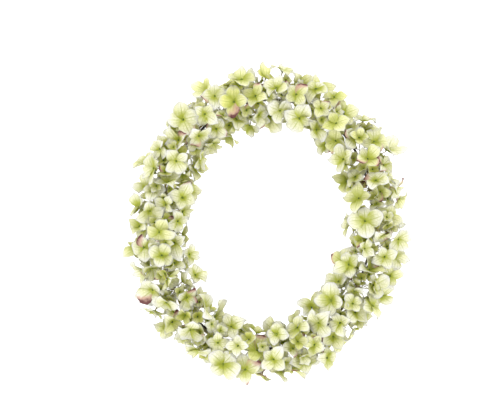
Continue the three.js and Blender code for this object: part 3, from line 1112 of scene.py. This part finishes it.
class WREATH_OT_binding_wire(bpy.types.Operator):
    """Wind the binding wire round the ring and the stems, with close turns at each tie"""

    bl_idname = "wreath.binding_wire"
    bl_label = "Binding wire"

    def execute(self, context):
        curve = start_strands("florists_wire", roundness=1)
        places = []
        steps = len(SPRIGS) * BINDING_STEPS
        for i in range(steps):
            along = i / BINDING_STEPS
            tie = round(along)
            off = along - tie
            close = float(np.clip(off / TIE_SPAN, -1, 1))
            angle = -2 * math.pi * (along + TIE_TURNS * (close * (1.5 - 0.5 * close * close)) / 2)
            slack = 1 - TIE_HUG * math.exp(-((off / TIE_SPAN) ** 2))
            turn = hub_turn(along) - TIE_BEHIND_HUB / RING_LENGTH
            outward = BINDING_OUTWARD + slack * BINDING_HALF_WIDTH * math.cos(angle)
            height = BINDING_HEIGHT + slack * BINDING_HALF_HEIGHT * math.sin(angle)
            places.append(beside_ring(turn, outward, height))
        add_strand(curve, places, [BINDING_RADIUS] * steps, 0)
        curve.splines[0].use_cyclic_u = True
        bpy.ops.object.convert(target="MESH")
        enamel = settings().colours.enamel
        material = wire_material(
            "enamelled_wire", enamel, linear("6a6a4c"), metallic=0.3, roughness=0.38
        )
        finish_piece(context.object, [material], "binding_wire", "binding_wire")
        bpy.ops.object.shade_smooth()
        return {"FINISHED"}


# --- stage


class WREATH_OT_stage(bpy.types.Operator):
    """Set up the pale floor, the soft lamps and the camera that looks down"""

    bl_idname = "wreath.stage"
    bl_label = "Stage"

    def execute(self, context):
        self.make_floor()
        self.make_lights(context.scene)
        self.make_camera(context.scene)
        return {"FINISHED"}

    def make_floor(self):
        """A matt white table top that gives off a little light of its own."""
        start_piece()
        bpy.ops.mesh.primitive_circle_add(vertices=96, radius=FLOOR_RADIUS, fill_type="NGON")
        floor = bpy.context.object
        floor.name = "table_top"
        matt = {"Base Color": linear("9c9c9c"), "Roughness": 0.8}
        glow = {"Emission Color": (1, 1, 1, 1), "Emission Strength": settings().stage.glow}
        floor.data.materials.append(cover(new_material("white_light_table")[0], {**matt, **glow}))

    def make_lights(self, scene):
        """White light from all round, and one large soft lamp from the upper left."""
        world = bpy.data.worlds.new("white_room")
        world.use_nodes = True
        light = world.node_tree.nodes["Background"].inputs
        light["Color"].default_value = (1, 1, 1, 1)
        light["Strength"].default_value = settings().stage.sky
        scene.world = world
        for name, place, size, share in LAMPS:
            start_piece()
            bpy.ops.object.light_add(type="AREA", location=place)
            lamp = bpy.context.object
            lamp.name = name
            lamp.data.size = size
            lamp.data.energy = settings().stage.key * share
            lamp.rotation_mode = "QUATERNION"
            lamp.rotation_quaternion = (RING_CENTRE - lamp.location).to_track_quat("-Z", "Y")

    def make_camera(self, scene):
        """Straight above the wreath, turned so that its top leans right."""
        stage = settings().stage
        width = VIEW_WIDTH * stage.pixel
        right = Vector((math.cos(CAMERA_ROLL), math.sin(CAMERA_ROLL), 0))
        up = Vector((-math.sin(CAMERA_ROLL), math.cos(CAMERA_ROLL), 0))
        place = RING_CENTRE - (right * WREATH_RIGHT - up * WREATH_BELOW) * stage.pixel
        place.z = CAMERA_PLANE + width * stage.lens / SENSOR
        bpy.ops.object.camera_add(location=place, rotation=(0, 0, CAMERA_ROLL))
        camera = bpy.context.object
        camera.data.lens = stage.lens / MM
        camera.data.sensor_width = SENSOR / MM
        camera.data.dof.use_dof = False
        camera.data.clip_end = 100
        scene.camera = camera
        scene.view_settings.view_transform = "Standard"


# --- panel


class WREATH_PT_panel(bpy.types.Panel):
    """The wreath's settings and its pieces"""

    bl_idname = "WREATH_PT_panel"
    bl_label = "Hydrangea wreath"
    bl_space_type = "VIEW_3D"
    bl_region_type = "UI"
    bl_category = "Wreath"

    def draw(self, context):
        wreath = settings()
        for group in (wreath.petals, wreath.colours, wreath.stage):
            column = self.layout.column()
            for name in group.__annotations__:
                column.prop(group, name)
        for operator in OPERATORS:
            self.layout.operator(operator.bl_idname)


OPERATORS = (
    WREATH_OT_stage,
    WREATH_OT_ring_wire,
    WREATH_OT_binding_wire,
    WREATH_OT_stems,
    WREATH_OT_florets,
    WREATH_OT_buds,
)
GROUPS = (PetalSettings, ColourSettings, StageSettings, WreathSettings)
CLASSES = (*GROUPS, *OPERATORS, WREATH_PT_panel)


def register():
    """Registers the classes and gives the scene its wreath settings."""
    for cls in CLASSES:
        bpy.utils.register_class(cls)
    bpy.types.Scene.hydrangea_wreath = bpy.props.PointerProperty(type=WreathSettings)


def unregister():
    """Takes the settings and the classes away again."""
    del bpy.types.Scene.hydrangea_wreath
    for cls in reversed(CLASSES):
        bpy.utils.unregister_class(cls)


def main():
    """Models every piece."""
    register()
    bpy.ops.wreath.stage()
    bpy.ops.wreath.ring_wire()
    bpy.ops.wreath.binding_wire()
    bpy.ops.wreath.stems()
    bpy.ops.wreath.florets()
    bpy.ops.wreath.buds()


if __name__ == "__main__":
    main()
